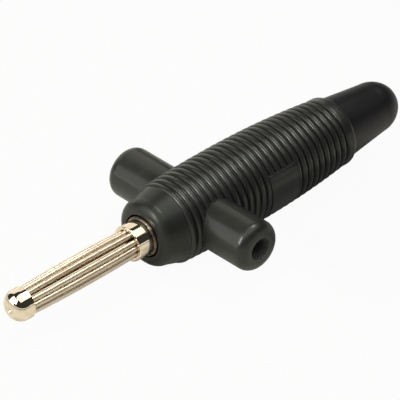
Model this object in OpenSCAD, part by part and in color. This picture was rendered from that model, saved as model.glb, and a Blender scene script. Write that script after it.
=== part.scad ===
// Banana plug with a bunch of spring wires, a ribbed handle and two hollow arms.
// Lengths are in millimetres. Inside the modules the plug's axis is X, with x = 0
// at the handle's front face, the pin towards -X and the cable towards +X.

/* [Contact pin] */
// Reach of the pin in front of the handle
pin_length = 21.2; // [18:0.1:26]
// Outside diameter of the tip cap, the plug's nominal size
cap_d = 4; // [3.95:0.01:4.1]
// Length of the tip cap
cap_length = 2.3; // [2.1:0.05:3]
// Rounding of the cap's nose
cap_round = 1.55; // [1:0.05:1.7]
// Depth of the pocket in the cap that holds the wires' front ends
cap_pocket = 0.8; // [0.5:0.05:0.9]
// Diameter of the core pin inside the bunch
core_d = 1.9; // [1.5:0.05:1.95]
// Diameter of the core's front spigot, riveted in the cap
rivet_d = 0.9; // [0.6:0.05:1.1]
// Diameter of the dimple in the riveted end
dimple_d = 0.6; // [0.3:0.05:0.7]
// Depth of that dimple
dimple_depth = 0.3; // [0.1:0.05:0.4]

/* [Spring wires] */
// Number of wires in the bunch
wire_count = 12; // [8:1:12]
// Diameter of one wire
wire_d = 0.7; // [0.6:0.01:0.74]
// Diameter over the bunch at its middle, where the wires bow out
bunch_d = 3.92; // [3.88:0.01:4]
// Gap between neighbouring wires where they close up at both ends
wire_gap = 0.015; // [0.01:0.005:0.03]
// Angle between the first and the last wire, across the open seam of the bunch
seam_angle = 37; // [30:1:45]
// Direction of the seam, turned up from the arm on the far side
seam_turn = 125; // [0:1:360]
// Clearance of the wires in the cap and the collar
wire_clear = 0.02; // [0.01:0.005:0.04]

/* [Collar] */
// Diameter of the polished collar behind the bunch
collar_d = 4.6; // [4.4:0.05:5]
// Reach of the collar in front of the handle
collar_reach = 2.4; // [2:0.1:4]
// Rounding of the collar's front edge
collar_round = 0.15; // [0.1:0.01:0.2]
// Diameter of the collar's rear flange
flange_d = 5.2; // [4.8:0.05:5.3]
// Thickness of the flange
flange_t = 0.7; // [0.5:0.05:0.9]
// How far the flange stands in front of the handle
flange_reach = 0.3; // [0.2:0.05:0.45]
// Rounding of the flange's front edge
flange_round = 0.35; // [0.1:0.05:0.45]
// Width of the groove in front of the flange
groove_w = 0.16; // [0.1:0.02:0.3]
// Depth of that groove
groove_depth = 0.15; // [0.05:0.01:0.2]

/* [Handle] */
// Length of the handle
handle_length = 32.2; // [31.6:0.1:40]
// Diameter of the smooth nose at its front lip
nose_d = 8.8; // [8.4:0.1:9.6]
// Rounding of the front lip
lip_round = 1.3; // [0.8:0.05:1.4]
// Diameter of the nose just in front of the ribs
nose_rear_d = 9.9; // [9.4:0.1:10.2]
// Diameter over the first rib
first_rib_d = 10.4; // [9.9:0.1:11]
// Diameter over the largest rib
belly_d = 10.9; // [10.6:0.1:12]
// Diameter over the last rib
rear_d = 9.1; // [8.6:0.1:10]
// Number of ribs
rib_count = 27; // [24:1:27]
// Which rib, counted from the front, is the largest
belly_rib = 12; // [8:1:16]
// Distance from the front face to the first rib's crest
first_rib_x = 3.85; // [3.6:0.05:4.2]
// Distance from rib to rib
rib_pitch = 1.04; // [1:0.01:1.05]
// Radius of a rib's rounded crest
rib_round = 0.42; // [0.36:0.01:0.46]
// Depth of the grooves between the ribs
rib_depth = 0.34; // [0.2:0.01:0.35]
// Rounding of the handle's rear shoulder
shoulder_round = 0.6; // [0.4:0.05:0.9]
// Diameter of the hole in the front face, round the collar's flange
front_hole_d = 5.6; // [5.4:0.1:5.9]
// Depth of that hole, to the shoulder that stops the contact body
front_hole_depth = 1.6; // [1.2:0.1:2]

/* [Arms] */
// Distance from the front face to the arms' axis
arm_x = 8.2; // [7.8:0.1:10]
// Diameter of the arms
arm_d = 6.5; // [6:0.1:7.2]
// Span over both arms' ends
arm_span = 23.5; // [20:0.1:28]
// Rounding of the arms' end edges
arm_round = 1.3; // [0.6:0.05:1.5]
// Diameter of the well along the arms
well_d = 3; // [2.8:0.05:3.4]

/* [Label field] */
// Distance from the front face to the middle of the field
label_x = 18.9; // [17.5:0.1:22]
// Length of the field along the handle
label_length = 4.6; // [3:0.1:6]
// Height of the field
label_height = 5.5; // [4:0.1:6]
// How far the field stands above the ribs' crests
label_proud = 0.03; // [0.02:0.01:0.12]

/* [Contact body] */
// Diameter of the turned contact body
contact_d = 6.3; // [6:0.05:6.6]
// Distance from the front face to the contact body's rear end
contact_rear_x = 20; // [16:0.5:24]
// Diameter of the hole that takes the wire
wire_hole_d = 3.2; // [2.6:0.1:3.6]
// Depth of that hole
wire_hole_depth = 14; // [12.5:0.1:14.5]
// Width of the chamfer round the hole's mouth
mouth_chamfer = 0.6; // [0.3:0.05:0.9]
// Depth to which the core pin is pressed in
core_seat = 4; // [3:0.1:4.5]
// Slip clearance round each seated piece
seat_clear = 0.02; // [0.01:0.005:0.05]
// Clearance of the contact body in the handle
body_clear = 0.05; // [0.02:0.01:0.1]

/* [Clamp screws] */
// Thread diameter of a clamp screw
screw_d = 2.5; // [2.2:0.05:2.7]
// Length of a clamp screw
screw_length = 6; // [4:0.1:7]
// Distance from the plug's axis to a screw's tip, as delivered
screw_tip_y = 1.3; // [1.2:0.05:1.6]
// Length of the cone at a screw's tip
screw_cone = 0.5; // [0.3:0.05:0.7]
// Width of the screwdriver slot
slot_w = 0.5; // [0.4:0.05:0.7]
// Depth of the screwdriver slot
slot_depth = 0.8; // [0.5:0.05:1]
// Running clearance of the screws in their threads
thread_clear = 0.02; // [0.01:0.005:0.05]

/* [Cable boot] */
// Length of the boot behind the handle
boot_length = 9.7; // [8:0.1:16]
// Diameter of the boot where it meets the handle
boot_front_d = 8.15; // [7.6:0.05:8.4]
// Diameter of the boot where its rear end starts to round
boot_rear_d = 6.6; // [6:0.1:7.4]
// Radius to which the boot's rear end is rounded
boot_round = 4; // [2:0.1:6]
// Width of the flat ring round the cable hole
boot_ring = 0.35; // [0.2:0.05:0.6]
// Length of the boot's plug inside the handle
boot_plug = 6; // [4:0.1:9]
// Diameter of the cable hole through the boot
cable_d = 3.5; // [3:0.1:3.8]

/* [Hidden] */
$fn = 64;
WIRE_NAMES = [for (i = [1:wire_count]) str("spring_wire_", i)];
// Overshoot of a cut past the face it opens
over = 1;
// The frame's origin lies under the middle of the plug, on the surface that it lies on
boot_rear_x = handle_length + boot_length;
// The boot's rounded end runs from the taper to the ring round the cable hole
boot_ring_r = cable_d / 2 + boot_ring;
boot_dome = sqrt(pow(boot_round, 2) - pow(boot_ring_r + boot_round - boot_rear_d / 2, 2));
boot_dome_x = boot_rear_x - boot_dome;
mid_x = (boot_rear_x - pin_length) / 2;
belly_r = belly_d / 2;
// Places along the pin
tip_x = -pin_length;
cap_rear_x = tip_x + cap_length;
pocket_x = cap_rear_x - cap_pocket;
flange_rear_x = flange_t - flange_reach;
groove_x = -flange_reach - groove_w;
// The wires lie on a ring that is widest at the middle of the bunch and closes at both ends
wire_r = wire_d / 2;
ring_r = bunch_d / 2 - wire_r;
wire_step = (360 - seam_angle) / (wire_count - 1);
closed_ring_r = max((wire_r + wire_gap / 2) / sin(wire_step / 2), core_d / 2 + wire_r + wire_clear);
wire_front_x = pocket_x + wire_clear;
wire_rear_x = groove_x - wire_clear;
wire_mid_x = (wire_front_x + wire_rear_x) / 2;
half_wire = (wire_rear_x - wire_front_x) / 2;
bow = ring_r - closed_ring_r;
bow_r = (pow(half_wire, 2) / bow + bow) / 2;
bow_angle = asin(half_wire / bow_r);
// Number of straight steps that draw a full turn of the bow
bow_fn = 4000;
// Number of straight steps round a wire's section
wire_fn = 32;
// The handle's bore takes the contact body and the boot's plug
bore_r = contact_d / 2 + body_clear;
last_rib = rib_count - 1;
thread_r = screw_d / 2 + thread_clear;
metal = [0.86, 0.79, 0.66];
brass = [0.78, 0.66, 0.42];
black_plastic = [0.09, 0.095, 0.1];
black_rubber = [0.05, 0.05, 0.055];

// Radius over the ribs at a place counted in ribs from the first
function crest_r(place) =
    let (front = belly_rib - 1, to_front = place <= front)
    let (end_r = (to_front ? first_rib_d : rear_d) / 2)
    let (share = (place - front) / (to_front ? front : last_rib - front))
    belly_r - (belly_r - end_r) * pow(share, 2);

function rib_x(place) = first_rib_x + rib_pitch * place;

function place_at(x) = (x - first_rib_x) / rib_pitch;

// Radius of the ring of wires at a place along the pin
function wire_ring_r(x) = ring_r - bow_r + sqrt(pow(bow_r, 2) - pow(x - wire_mid_x, 2));

// Sets the plug down in its frame
module in_frame() translate([-mid_x, 0, belly_r]) children();

// Turns a half profile, drawn as radius and place, about the plug's axis
module turned() rotate([0, 90, 0]) rotate_extrude() children();

// A round bar or hole about the plug's axis
module bar(r, from_x, to_x) translate([from_x, 0, 0]) rotate([0, 90, 0]) cylinder(r = r, h = to_x - from_x);

// Half profile of a bar with a rounded edge at its far end
module round_ended(r, length, edge) {
    square([r - edge, length]);
    square([r, length - edge]);
    translate([r - edge, length - edge]) intersection() {
        circle(edge);
        square(edge);
    }
}

// Half profile of the handle's smooth core, from the nose to the rear shoulder
module handle_core_profile() {
    nose_r = nose_d / 2;
    rear_r = rear_d / 2;
    floor_line = [for (i = [0:last_rib]) [crest_r(i) - rib_depth, rib_x(i)]];
    polygon(concat(
        [[0, 0], [nose_r - lip_round, 0], [nose_r, lip_round], [nose_rear_d / 2, rib_x(-0.5)]],
        floor_line,
        [[rear_r, rib_x(last_rib)], [rear_r, handle_length - shoulder_round]],
        [[rear_r - shoulder_round, handle_length], [0, handle_length]]));
    translate([nose_r - lip_round, lip_round]) circle(lip_round);
    translate([rear_r - shoulder_round, handle_length - shoulder_round]) circle(shoulder_round);
}

module rib_profile(i) translate([crest_r(i) - rib_round, rib_x(i)]) circle(rib_round);

// Smooth field among the ribs on one flank
module label_field() {
    front_x = label_x - label_length / 2;
    rear_x = label_x + label_length / 2;
    intersection() {
        translate([front_x, 0, 0]) rotate([0, 90, 0])
            cylinder(r1 = crest_r(place_at(front_x)) + label_proud,
                     r2 = crest_r(place_at(rear_x)) + label_proud, h = label_length);
        translate([front_x, -belly_d, -label_height / 2])
            cube([label_length, belly_d, label_height]);
    }
}

module arms() {
    for (side = [-90, 90])
        translate([arm_x, 0, 0]) rotate([side, 0, 0])
            rotate_extrude() round_ended(arm_d / 2, arm_span / 2, arm_round);
}

module handle() {
    color(black_plastic) in_frame() difference() {
        union() {
            turned() {
                handle_core_profile();
                for (i = [0:last_rib]) rib_profile(i);
            }
            label_field();
            arms();
        }
        bar(front_hole_d / 2, -over, front_hole_depth + over);
        bar(bore_r, front_hole_depth, handle_length + over);
        translate([arm_x, 0, 0]) rotate([90, 0, 0])
            cylinder(d = well_d, h = arm_span + 2 * over, center = true);
    }
}

// Half profile of the boot's rounded end, an arc cut off at the ring round the cable hole
module boot_dome_profile() {
    translate([0, boot_dome_x]) intersection() {
        translate([boot_rear_d / 2 - boot_round, 0]) circle(boot_round);
        square([boot_rear_d / 2, boot_dome]);
    }
}

module cable_boot() {
    plug_r = bore_r - seat_clear;
    color(black_rubber) in_frame() difference() {
        turned() {
            translate([0, handle_length - boot_plug]) square([plug_r, boot_plug + over]);
            polygon([[0, handle_length], [boot_front_d / 2, handle_length],
                     [boot_rear_d / 2, boot_dome_x], [0, boot_dome_x]]);
            boot_dome_profile();
        }
        bar(cable_d / 2, handle_length - boot_plug - over, boot_rear_x + over);
    }
}

module contact_body() {
    wire_hole_r = wire_hole_d / 2;
    color(brass) in_frame() difference() {
        union() {
            bar(flange_d / 2, flange_rear_x, front_hole_depth + over);
            bar(contact_d / 2, front_hole_depth, contact_rear_x);
        }
        bar(core_d / 2 + seat_clear, flange_rear_x - over, flange_rear_x + core_seat);
        bar(wire_hole_r, contact_rear_x - wire_hole_depth, contact_rear_x + over);
        translate([contact_rear_x - mouth_chamfer, 0, 0]) rotate([0, 90, 0])
            cylinder(r1 = wire_hole_r, r2 = wire_hole_r + 2 * mouth_chamfer, h = 2 * mouth_chamfer);
        translate([arm_x, 0, 0]) rotate([90, 0, 0])
            cylinder(r = thread_r, h = contact_d + 2 * over, center = true);
    }
}

module collar() {
    collar_r = collar_d / 2;
    color(metal) in_frame() difference() {
        turned() {
            translate([0, groove_x]) mirror([0, 1])
                round_ended(collar_r, collar_reach + groove_x, collar_round);
            translate([0, groove_x - groove_w]) square([collar_r - groove_depth, 2 * groove_w]);
            translate([0, flange_rear_x]) mirror([0, 1]) round_ended(flange_d / 2, flange_t, flange_round);
        }
        bar(wire_ring_r(-collar_reach) + wire_r + wire_clear, -collar_reach - over, groove_x);
        bar(core_d / 2 + seat_clear, groove_x - over, flange_rear_x + over);
    }
}

module core_pin() {
    color(metal) in_frame() difference() {
        union() {
            bar(core_d / 2, pocket_x, flange_rear_x + core_seat);
            bar(rivet_d / 2, tip_x, pocket_x + over);
        }
        translate([tip_x, 0, 0]) rotate([0, 90, 0])
            cylinder(d1 = dimple_d, d2 = 0, h = dimple_depth);
    }
}

module tip_cap() {
    color(metal) in_frame() difference() {
        turned() translate([0, cap_rear_x]) mirror([0, 1]) round_ended(cap_d / 2, cap_length, cap_round);
        bar(rivet_d / 2 + seat_clear, tip_x - over, pocket_x + over);
        bar(wire_ring_r(cap_rear_x) + wire_r + wire_clear, pocket_x, cap_rear_x + over);
    }
}

// One wire, bowed along the bunch from the cap's pocket to the collar's bore
module spring_wire(i) {
    color(metal) in_frame() rotate([seam_turn + seam_angle / 2 + wire_step * (i - 1), 0, 0])
        translate([wire_mid_x, ring_r - bow_r, 0]) rotate([0, 0, 90 - bow_angle])
            rotate_extrude(angle = 2 * bow_angle, $fn = bow_fn)
                translate([bow_r, 0]) circle(wire_r, $fn = wire_fn);
}

// A slotted grub screw down one arm, side -1 on the near arm and +1 on the far one
module clamp_screw(side) {
    screw_r = screw_d / 2;
    color(metal) in_frame() translate([arm_x, 0, 0]) rotate([-90 * side, 0, 0])
        translate([0, 0, screw_tip_y]) difference() {
            union() {
                cylinder(r1 = screw_r - screw_cone, r2 = screw_r, h = screw_cone);
                translate([0, 0, screw_cone]) cylinder(r = screw_r, h = screw_length - screw_cone);
            }
            translate([-screw_d, -slot_w / 2, screw_length - slot_depth])
                cube([2 * screw_d, slot_w, slot_depth + over]);
        }
}

handle();
cable_boot();
contact_body();
collar();
core_pin();
tip_cap();
for (i = [1:wire_count])
    spring_wire(i);
clamp_screw(1);  // clamp_screw_left
clamp_screw(-1);  // clamp_screw_right
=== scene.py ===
"""Looks of the banana plug: every piece's finish, the threaded clamp screws, the studio and the camera."""

import math

import bmesh
import bpy
from mathutils import Matrix, Vector


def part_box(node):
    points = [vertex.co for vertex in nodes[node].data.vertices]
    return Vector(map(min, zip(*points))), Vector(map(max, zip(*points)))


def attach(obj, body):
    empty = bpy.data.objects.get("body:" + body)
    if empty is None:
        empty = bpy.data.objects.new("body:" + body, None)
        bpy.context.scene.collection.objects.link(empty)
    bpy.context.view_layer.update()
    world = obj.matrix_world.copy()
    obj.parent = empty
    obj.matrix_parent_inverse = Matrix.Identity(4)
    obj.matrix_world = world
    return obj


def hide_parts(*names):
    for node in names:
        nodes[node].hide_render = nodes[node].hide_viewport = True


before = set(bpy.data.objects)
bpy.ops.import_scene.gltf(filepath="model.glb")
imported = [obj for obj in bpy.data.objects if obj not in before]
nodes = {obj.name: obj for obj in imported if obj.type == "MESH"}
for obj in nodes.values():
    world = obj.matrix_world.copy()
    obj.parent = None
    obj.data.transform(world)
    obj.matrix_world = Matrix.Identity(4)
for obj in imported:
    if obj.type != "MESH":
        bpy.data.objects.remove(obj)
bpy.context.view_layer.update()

# Lengths below are in millimetres, and MM turns them into the frame's metres.
MM = 0.001

# Places read from the frame: the plug's axis, the handle's front face and the arms' axis
handle_low, handle_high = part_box("handle")
screw_low, screw_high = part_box("clamp_screw_left")
AXIS_Z = (handle_low.z + handle_high.z) / 2 / MM
FRONT_X = handle_low.x / MM
ARM_X = (screw_low.x + screw_high.x) / 2 / MM
BELLY_R = (handle_high.z - handle_low.z) / 2 / MM

# Ribs of the handle
RIB_PITCH = 1.04
RIB_COUNT = 27
FIRST_RIB_X = FRONT_X + 3.85
RIBS_START = FIRST_RIB_X - RIB_PITCH / 2
RIBS_END = RIBS_START + RIB_COUNT * RIB_PITCH

# Wells down the arms
WELL_R = 1.5

# Zones of finish: how far past a radius they reach, and the lengths over which they fade
BELLY_MARGIN = 0.1
WELL_MARGIN = 0.02
NOSE_FADE = 0.4
ARM_FADE = 1.5
SHADE_FADE = 0.06

# Shade is painted on the collar from this place backwards, down in the handle's front hole
COLLAR_SHADE_X = FRONT_X - 0.36

# Clamp screws
SCREW_R = (screw_high.x - screw_low.x) / 2 / MM
SCREW_LENGTH = (screw_high.y - screw_low.y) / MM
SCREW_TIP_Y = screw_low.y / MM
SCREW_LEAST_R = 0.1
SCREW_SIDES = 48
SCREW_ROWS_PER_PITCH = 8
SMOOTH_ANGLE = math.radians(32)
THREAD_PITCH = 0.45
THREAD_DEPTH = 0.2
THREAD_STEEPNESS = 1.25
THREAD_CONE = 0.5
THREAD_CHAMFER = 0.25
SLOT_WIDTH = 0.5
SLOT_DEPTH = 0.8

# Colours of the handle and the boot
PLASTIC_DARK = (0.0098, 0.0106, 0.0098, 1)
PLASTIC_PALE = (0.0152, 0.0160, 0.0147, 1)
# Paler rib crests: partly wear, partly a painted highlight
CREST_WEAR_AND_HIGHLIGHT = (0.019, 0.0196, 0.0178, 1)
ARM_PALE = (0.040, 0.039, 0.034, 1)
DUST_SPECK = (0.05, 0.05, 0.046, 1)
# Paler tone painted in the wells as light
WELL_PAINTED_LIGHT = (0.115, 0.12, 0.112, 1)
OLIVE_SHEEN = (0.955, 1.0, 0.87, 1)
BOOT_DARK = (0.0052, 0.0053, 0.0060, 1)
BOOT_PALE = (0.0084, 0.0085, 0.0095, 1)

# Colours of the metals, clean and tarnished
PLATING = (0.92, 0.81, 0.63, 1), (0.78, 0.64, 0.46, 1)
WIRE = (0.77, 0.67, 0.525, 1), (0.635, 0.52, 0.385, 1)
BRASS = (0.76, 0.60, 0.32, 1), (0.60, 0.44, 0.22, 1)
STEEL = (0.62, 0.62, 0.63, 1), (0.42, 0.41, 0.40, 1)
# Dark tone painted on the collar as shade, where it goes down into the handle's front hole
PAINTED_SHADE_TONE = (0.06, 0.045, 0.03, 1)

# Roughness of each finish, lowest and highest, and what wear and the collar's painted shade add to it
HANDLE_ROUGHNESS = 0.32, 0.40
BOOT_ROUGHNESS = 0.36, 0.44
PLATING_ROUGHNESS = 0.03, 0.09
WIRE_ROUGHNESS = 0.38, 0.45
BRASS_ROUGHNESS = 0.18, 0.32
STEEL_ROUGHNESS = 0.22, 0.38
CREST_POLISH = -0.05
SHADE_ROUGHNESS = 0.3

# Fineness of the tool's rings on the turned metals
PLATING_RINGS = 30.0
BRASS_RINGS = 14.0
STEEL_RINGS = 12.0

# Gloss of the two plastics, and the handle's coat, which is thinner on its nose
HANDLE_IOR = 1.38
BOOT_IOR = 1.40
HANDLE_COAT = 0.25
NOSE_COAT = 0.05
COAT_ROUGHNESS = 0.10

# Shares of the paler tones laid over the handle's own
CREST_SHARE = 0.4
SPECK_SHARE = 0.15
ARM_SHARE = 0.15

# Both ends of a mask
MASK = 0.0, 1.0

# Floor: its half width, and its paper's colours near the plug, far off where a fall-off of light is
# painted, and in a shadow painted beside the handle
FLOOR_HALF = 3000
# The paper's colour near the plug and far off: a fall-off of light painted into it
PAPER_NEAR = (0.66, 0.645, 0.59, 1)
PAPER_FAR = (0.25, 0.245, 0.225, 1)
# Shadow painted on the paper beside the handle, seen in reflections
PAPER_PAINTED_SHADOW = (0.18, 0.20, 0.21, 1)

# Where the paper darkens with distance as a painted fall-off of light, and where the painted shadow fades
# in and out along X and Y
PAINTED_FALLOFF = 35, 110
SHADOW_X = (2, 8), (24, 30)
SHADOW_Y = (-28, -18), (0, 8)

# The floor's own glow: its colour and share in reflections, and its share to the camera
MIRRORED_GLOW = (0.74, 0.68, 0.62, 1)
MIRRORED_SHARE = 0.1
CAMERA_SHARE = 0.97

# World: levels of the backdrop and the room, and in degrees the backdrop's top and its fade
WHITE = 0.982
ROOM = 0.035
BACKDROP_TOP = 3.5
BACKDROP_FADE = 2.0

# Lamps: name, place, size, watts and tint
CREAM = (1, 0.995, 0.95)
STRAW = (1, 0.95, 0.86)
NEUTRAL = (1, 1, 1)
LAMPS = (
    ("key", (0, -85, 390), (540, 380), 0.93, CREAM),
    ("key_core", (142, -5, 360), (160, 100), 0.396, CREAM),
    ("card", (38, 125, 72), (156, 140), 0.068, STRAW),
    ("side", (-328, 174, 156), (240, 440), 0.6, NEUTRAL),
    ("side_core", (-328, 10, 228), (90, 200), 1.06, NEUTRAL),
)

# Camera, placed by the outline of the plug in the photograph
TARGET = Vector((FRONT_X + 9.6, 0, AXIS_Z + 0.54))
CAMERA_DISTANCE = 500
CAMERA_AZIMUTH = -44.175
CAMERA_ELEVATION = 35.113
LENS = 374.84
SENSOR = 36


class Graph:
    """A node tree, with short calls for the nodes that the finishes and the studio share."""

    def __init__(self, owner):
        owner.use_nodes = True
        self.tree = owner.node_tree
        self.tree.nodes.clear()

    def node(self, kind, **settings):
        made = self.tree.nodes.new(kind)
        for key, value in settings.items():
            setattr(made, key, value)
        return made

    def link(self, source, target):
        self.tree.links.new(source, target)

    def feed(self, socket, value):
        """Links a socket, or sets a plain value."""
        if isinstance(value, bpy.types.NodeSocket):
            self.link(value, socket)
        else:
            socket.default_value = value

    def math(self, operation, *values):
        made = self.node("ShaderNodeMath", operation=operation)
        for socket, value in zip(made.inputs, values):
            self.feed(socket, value)
        return made.outputs[0]

    def squares(self, first, second):
        """The sum of two values' squares."""
        return self.math("ADD", self.math("MULTIPLY", first, first), self.math("MULTIPLY", second, second))

    def place(self, stretch=(1, 1, 1)):
        """The piece's own coordinates in millimetres, stretched along each axis."""
        made = self.node("ShaderNodeMapping")
        self.link(self.node("ShaderNodeTexCoord").outputs["Object"], made.inputs["Vector"])
        made.inputs["Scale"].default_value = [s / MM for s in stretch]
        return made.outputs["Vector"]

    def axes(self, place=None):
        """The x, y and z of a place, or else of the piece's own coordinates."""
        split = self.node("ShaderNodeSeparateXYZ")
        self.link(place or self.place(), split.inputs["Vector"])
        return split.outputs["X"], split.outputs["Y"], split.outputs["Z"]

    def noise(self, place, scale, detail=3.0, roughness=0.5):
        made = self.node("ShaderNodeTexNoise")
        self.link(place, made.inputs["Vector"])
        made.inputs["Scale"].default_value = scale
        made.inputs["Detail"].default_value = detail
        made.inputs["Roughness"].default_value = roughness
        return made.outputs["Fac"]

    def remap(self, value, source, result=MASK):
        """Takes one range to another with soft ends."""
        made = self.node("ShaderNodeMapRange", interpolation_type="SMOOTHSTEP")
        self.link(value, made.inputs["Value"])
        for name, limit in zip(("From Min", "From Max", "To Min", "To Max"), (*source, *result)):
            made.inputs[name].default_value = limit
        return made.outputs["Result"]

    def span(self, value, rise, fall):
        """One between a rise and a fall, and zero outside."""
        return self.math("MULTIPLY", self.remap(value, rise), self.remap(value, fall, (1.0, 0.0)))

    def mix(self, share, first, second):
        made = self.node("ShaderNodeMix", data_type="RGBA")
        self.feed(made.inputs["Factor"], share)
        self.feed(made.inputs["A"], first)
        self.feed(made.inputs["B"], second)
        return made.outputs["Result"]

    def mix_shaders(self, share, first, second):
        made = self.node("ShaderNodeMixShader")
        for socket, value in zip(made.inputs, (share, first, second)):
            self.link(value, socket)
        return made.outputs["Shader"]


class Finish(Graph):
    """A material's node tree, with one Principled shader."""

    def __init__(self, name):
        self.material = bpy.data.materials.new(name)
        super().__init__(self.material)
        self.shader = self.node("ShaderNodeBsdfPrincipled")
        output = self.node("ShaderNodeOutputMaterial")
        self.link(self.shader.outputs["BSDF"], output.inputs["Surface"])

    def set(self, **values):
        """Sets or links the shader's sockets, named with underscores for spaces."""
        for key, value in values.items():
            self.feed(self.shader.inputs[key.replace("_", " ")], value)

    def bump(self, height, strength, distance):
        made = self.node("ShaderNodeBump")
        made.inputs["Strength"].default_value = strength
        made.inputs["Distance"].default_value = distance * MM
        self.link(height, made.inputs["Height"])
        self.link(made.outputs["Normal"], self.shader.inputs["Normal"])


def grey(level):
    return (level, level, level, 1)


def rib_crests(g):
    """One on the crests of the ribs and zero in their grooves, and zero off the ribbed length."""
    x, y, z = g.axes()
    turn = g.math("MULTIPLY", g.math("SUBTRACT", x, FIRST_RIB_X), 2 * math.pi / RIB_PITCH)
    wave = g.math("MULTIPLY_ADD", g.math("COSINE", turn), 0.5, 0.5)
    past_start = g.math("GREATER_THAN", x, RIBS_START)
    before_end = g.math("LESS_THAN", x, RIBS_END)
    inside = g.math("MULTIPLY", past_start, before_end)
    off_axis = g.squares(y, g.math("SUBTRACT", z, AXIS_Z))
    on_body = g.math("LESS_THAN", off_axis, (BELLY_R + BELLY_MARGIN) ** 2)
    return g.math("MULTIPLY", wave, g.math("MULTIPLY", inside, on_body))


def on_nose(g):
    """One on the smooth nose in front of the ribs."""
    x, _, _ = g.axes()
    return g.remap(x, (RIBS_START - NOSE_FADE, RIBS_START), (1.0, 0.0))


def in_wells(g):
    """One on the walls of the two wells down the arms, where a paler tone is painted in as light."""
    x, _, z = g.axes()
    off_axis = g.squares(g.math("SUBTRACT", x, ARM_X), g.math("SUBTRACT", z, AXIS_Z))
    return g.math("LESS_THAN", off_axis, (WELL_R + WELL_MARGIN) ** 2)


def on_arms(g):
    """One on the arms, from where they leave the ribs, which get a paler tone."""
    _, y, _ = g.axes()
    return g.remap(g.math("ABSOLUTE", y), (BELLY_R, BELLY_R + ARM_FADE))


def handle_plastic():
    """Satin black moulding: spark-eroded grain, slow drift of tone, dust specks, rib crests paler from
    wear and a painted highlight, paler arms, and light painted into the wells.
    """
    g = Finish("handle_plastic")
    crest = rib_crests(g)
    drift = g.noise(g.place(), scale=0.45, detail=4.0, roughness=0.6)
    grain = g.noise(g.place(), scale=7.0, detail=5.0, roughness=0.65)
    specks = g.remap(g.noise(g.place(), scale=2.6, detail=6.0, roughness=0.7), source=(0.62, 0.74))
    tone = g.mix(drift, PLASTIC_DARK, PLASTIC_PALE)
    # Rib crests made paler, partly as wear and partly as a painted highlight
    tone = g.mix(g.math("MULTIPLY", crest, CREST_SHARE), tone, CREST_WEAR_AND_HIGHLIGHT)
    tone = g.mix(g.math("MULTIPLY", specks, SPECK_SHARE), tone, DUST_SPECK)
    tone = g.mix(g.math("MULTIPLY", on_arms(g), ARM_SHARE), tone, ARM_PALE)
    # Light painted into the wells as a paler tone
    tone = g.mix(in_wells(g), tone, WELL_PAINTED_LIGHT)
    worn = g.math("MULTIPLY", crest, CREST_POLISH)
    rough = g.math("ADD", g.remap(drift, source=(0.2, 0.8), result=HANDLE_ROUGHNESS), worn)
    coat = g.remap(on_nose(g), MASK, result=(HANDLE_COAT, NOSE_COAT))
    g.set(Base_Color=tone, Roughness=rough, IOR=HANDLE_IOR, Specular_Tint=OLIVE_SHEEN)
    g.set(Coat_Weight=coat, Coat_Roughness=COAT_ROUGHNESS)
    g.bump(grain, strength=0.22, distance=0.02)
    return g.material


def boot_rubber():
    """Soft black boot: a matte skin with a fine pebble and faint flow lines along its length."""
    g = Finish("boot_rubber")
    drift = g.noise(g.place(stretch=(0.3, 1, 1)), scale=0.8)
    pebble = g.noise(g.place(), scale=11.0, roughness=0.6)
    rough = g.remap(drift, source=(0.25, 0.75), result=BOOT_ROUGHNESS)
    g.set(Base_Color=g.mix(drift, BOOT_DARK, BOOT_PALE), Roughness=rough, IOR=BOOT_IOR)
    g.bump(pebble, strength=0.25, distance=0.015)
    return g.material


def turned_metal(name, tones, roughness, ring_scale, shaded_from_x=None):
    """Turned metal: fine rings left by the tool, an uneven tarnish, and a shade painted behind a given
    place along X, when one is given.
    """
    g = Finish(name)
    rings = g.noise(g.place(stretch=(1, 0.02, 0.02)), ring_scale, detail=2.0)
    tarnish = g.noise(g.place(), scale=1.1, detail=5.0, roughness=0.65)
    tone = g.mix(g.remap(tarnish, source=(0.42, 0.78)), *tones)
    rough = g.remap(tarnish, source=(0.3, 0.75), result=roughness)
    # Shade painted on the collar down in the front hole, with a duller surface there
    if shaded_from_x is not None:
        x, _, _ = g.axes()
        behind = g.remap(x, (shaded_from_x - SHADE_FADE, shaded_from_x + SHADE_FADE))
        patchy = g.remap(g.noise(g.place(), scale=1.6), source=(0.3, 0.7), result=(0.75, 0.98))
        painted_shade = g.math("MULTIPLY", behind, patchy)
        tone = g.mix(painted_shade, tone, PAINTED_SHADE_TONE)
        rough = g.math("ADD", rough, g.math("MULTIPLY", painted_shade, SHADE_ROUGHNESS))
    g.set(Base_Color=tone, Roughness=rough, Metallic=1.0)
    g.bump(rings, strength=0.10, distance=0.004)
    return g.material


def drawn_wire():
    """Plated spring wire: drawing lines along it, and a browner tarnish in patches."""
    g = Finish("spring_metal")
    lines = g.noise(g.place(stretch=(0.02, 1, 1)), scale=5.0, detail=2.0)
    tarnish = g.noise(g.place(stretch=(0.15, 1, 1)), scale=0.9)
    tone = g.mix(g.remap(tarnish, source=(0.40, 0.75)), *WIRE)
    rough = g.remap(lines, source=(0.3, 0.7), result=WIRE_ROUGHNESS)
    g.set(Base_Color=tone, Roughness=rough, Metallic=1.0)
    g.bump(lines, strength=0.03, distance=0.002)
    return g.material


def thread_radius(turns, along):
    """Radius of a screw's flank at a turn and a distance from its tip, with its cone and chamfer."""
    wave = abs((along / THREAD_PITCH - turns) % 1.0 * 2 - 1)
    radius = SCREW_R - THREAD_DEPTH * min(1.0, wave * THREAD_STEEPNESS)
    cone = SCREW_R - THREAD_CONE + along
    chamfer = SCREW_R - THREAD_CHAMFER + (SCREW_LENGTH - along)
    return max(SCREW_LEAST_R, min(radius, cone, chamfer))


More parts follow.
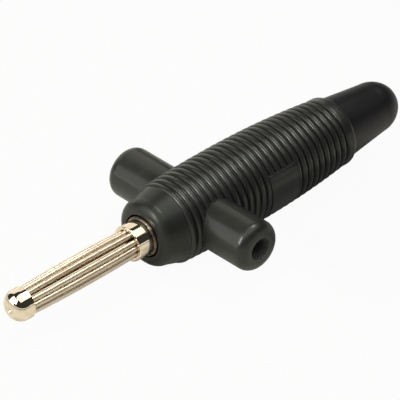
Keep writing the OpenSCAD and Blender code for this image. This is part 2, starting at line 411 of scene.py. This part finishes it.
def threaded_screw(side, node, body):
    """A slotted grub screw with a cut thread, in place of its plain solid; side is +1 or -1 along Y."""
    rows = round(SCREW_LENGTH / THREAD_PITCH * SCREW_ROWS_PER_PITCH)
    bm = bmesh.new()
    rings = []
    for row in range(rows + 1):
        along = SCREW_LENGTH * row / rows
        ring = []
        for i in range(SCREW_SIDES):
            angle = 2 * math.pi * i / SCREW_SIDES
            radius = thread_radius(i / SCREW_SIDES, along)
            point = (ARM_X + radius * math.cos(angle) * side, side * (SCREW_TIP_Y + along),
                     AXIS_Z - radius * math.sin(angle))
            ring.append(bm.verts.new(Vector(point) * MM))
        rings.append(ring)
    for low, high in zip(rings, rings[1:]):
        for i in range(SCREW_SIDES):
            j = (i + 1) % SCREW_SIDES
            bm.faces.new((low[i], low[j], high[j], high[i]))
    bm.faces.new(rings[0])
    bm.faces.new(rings[-1])
    bmesh.ops.recalc_face_normals(bm, faces=bm.faces)
    screw = mesh_object(node + "_threaded", bm)
    cut_slot(screw, side)
    screw.data.materials.append(SCREW_STEEL)
    smooth(screw)
    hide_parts(node)
    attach(screw, body)


def cut_slot(screw, side):
    """Cuts the screwdriver slot across the screw's outer end, with a block that stands out all round."""
    bm = bmesh.new()
    end = SCREW_TIP_Y + SCREW_LENGTH
    size = Matrix.Diagonal((4 * SCREW_R * MM, 2 * SLOT_DEPTH * MM, SLOT_WIDTH * MM, 1))
    move = Matrix.Translation(Vector((ARM_X, side * end, AXIS_Z)) * MM)
    bmesh.ops.create_cube(bm, size=1.0, matrix=move @ size)
    cutter = mesh_object("slot_cutter", bm)
    modifier = screw.modifiers.new("slot", "BOOLEAN")
    modifier.operation = "DIFFERENCE"
    modifier.object = cutter
    modifier.solver = "EXACT"
    bpy.context.view_layer.update()
    evaluated = screw.evaluated_get(bpy.context.evaluated_depsgraph_get())
    cut = bpy.data.meshes.new_from_object(evaluated)
    screw.modifiers.clear()
    screw.data = cut
    bpy.data.objects.remove(cutter)


def mesh_object(name, bm):
    mesh = bpy.data.meshes.new(name)
    bm.to_mesh(mesh)
    bm.free()
    made = bpy.data.objects.new(name, mesh)
    bpy.context.scene.collection.objects.link(made)
    return made


def smooth(piece):
    """Smooth shading with the edges past a set angle kept crisp."""
    piece.data.shade_smooth()
    piece.data.set_sharp_from_angle(angle=SMOOTH_ANGLE)


def dress(material, *names):
    """Gives CAD nodes their finish."""
    for name in names:
        nodes[name].data.materials.clear()
        nodes[name].data.materials.append(material)


def floor():
    """A wide floor: white to the camera, with a faint shadow, and in reflections mostly lit paper."""
    half = FLOOR_HALF * MM
    bm = bmesh.new()
    corners = [(-half, -half, 0), (half, -half, 0), (half, half, 0), (-half, half, 0)]
    bm.faces.new([bm.verts.new(corner) for corner in corners])
    made = mesh_object("floor", bm)
    made.data.materials.append(floor_white())


def floor_white():
    """Paper, with a fall-off of light painted far off and a shadow painted beside the handle, under a glow
    that only seen rays meet.
    """
    material = bpy.data.materials.new("floor_white")
    g = Graph(material)
    x, y, _ = g.axes()
    # Fall-off of light painted into the paper away from the plug
    falloff = g.remap(g.math("SQRT", g.squares(x, y)), PAINTED_FALLOFF)
    # Shadow painted on the paper beside the handle
    painted_shadow = g.math("MULTIPLY", g.span(x, *SHADOW_X), g.span(y, *SHADOW_Y))
    colour = g.mix(painted_shadow, g.mix(falloff, PAPER_NEAR, PAPER_FAR), PAPER_PAINTED_SHADOW)
    paper = g.node("ShaderNodeBsdfDiffuse")
    g.link(colour, paper.inputs["Color"])
    paper = paper.outputs["BSDF"]
    to_camera = g.node("ShaderNodeLightPath").outputs["Is Camera Ray"]
    glow = g.node("ShaderNodeEmission")
    g.link(g.mix(to_camera, MIRRORED_GLOW, grey(WHITE)), glow.inputs["Color"])
    share = g.remap(to_camera, MASK, (MIRRORED_SHARE, CAMERA_SHARE))
    glowing = g.mix_shaders(share, paper, glow.outputs["Emission"])
    surface = g.node("ShaderNodeOutputMaterial").inputs["Surface"]
    g.link(g.mix_shaders(seen_rays(g), paper, glowing), surface)
    return material


def seen_rays(g):
    """One for camera, glossy and transmission rays."""
    path = g.node("ShaderNodeLightPath").outputs
    direct = g.math("MAXIMUM", path["Is Camera Ray"], path["Is Glossy Ray"])
    return g.math("MAXIMUM", direct, path["Is Transmission Ray"])


def studio_world():
    """A dark room above a low pale backdrop, the same for every ray, so that reflections show it too."""
    world = bpy.data.worlds.new("studio")
    bpy.context.scene.world = world
    g = Graph(world)
    _, _, height = g.axes(g.node("ShaderNodeTexCoord").outputs["Generated"])
    top, end = BACKDROP_TOP, BACKDROP_TOP + BACKDROP_FADE
    above = g.remap(height, (math.sin(math.radians(top)), math.sin(math.radians(end))))
    room = g.node("ShaderNodeBackground")
    g.link(g.mix(above, grey(WHITE), grey(ROOM)), room.inputs["Color"])
    surface = g.node("ShaderNodeOutputWorld").inputs["Surface"]
    g.link(room.outputs["Background"], surface)


def softbox(name, place, size, watts, tint):
    """A rectangular lamp that faces the plug."""
    lamp = bpy.data.lights.new(name, "AREA")
    lamp.shape = "RECTANGLE"
    lamp.size, lamp.size_y = [side * MM for side in size]
    lamp.energy = watts
    lamp.color = tint
    made = bpy.data.objects.new(name, lamp)
    made.location = Vector(place) * MM
    made.rotation_mode = "QUATERNION"
    made.rotation_quaternion = (TARGET - Vector(place)).to_track_quat("-Z", "Y")
    bpy.context.scene.collection.objects.link(made)


def camera():
    data = bpy.data.cameras.new("camera")
    data.sensor_width = SENSOR
    data.lens = LENS
    made = bpy.data.objects.new("camera", data)
    azimuth, elevation = math.radians(CAMERA_AZIMUTH), math.radians(CAMERA_ELEVATION)
    level = math.cos(elevation)
    back = Vector((math.sin(azimuth) * level, -math.cos(azimuth) * level, math.sin(elevation)))
    made.location = (TARGET + back * CAMERA_DISTANCE) * MM
    made.rotation_mode = "QUATERNION"
    made.rotation_quaternion = (-back).to_track_quat("-Z", "Y")
    bpy.context.scene.collection.objects.link(made)
    bpy.context.scene.camera = made


# Finishes
PLATED_METAL = turned_metal("plated_metal", PLATING, PLATING_ROUGHNESS, PLATING_RINGS)
COLLAR_METAL = turned_metal("collar_plating", PLATING, PLATING_ROUGHNESS, PLATING_RINGS, COLLAR_SHADE_X)
CONTACT_BRASS = turned_metal("contact_brass", BRASS, BRASS_ROUGHNESS, BRASS_RINGS)
SCREW_STEEL = turned_metal("screw_steel", STEEL, STEEL_ROUGHNESS, STEEL_RINGS)
WIRES = [name for name in nodes if name.startswith("spring_wire_")]

dress(handle_plastic(), "handle")
dress(boot_rubber(), "cable_boot")
dress(COLLAR_METAL, "collar")
dress(PLATED_METAL, "core_pin", "tip_cap")
dress(drawn_wire(), *WIRES)
dress(CONTACT_BRASS, "contact_body")
threaded_screw(1, "clamp_screw_left", "left_screw")
threaded_screw(-1, "clamp_screw_right", "right_screw")

# Studio
bpy.context.scene.view_settings.view_transform = "Standard"
floor()
studio_world()
for lamp in LAMPS:
    softbox(*lamp)
camera()
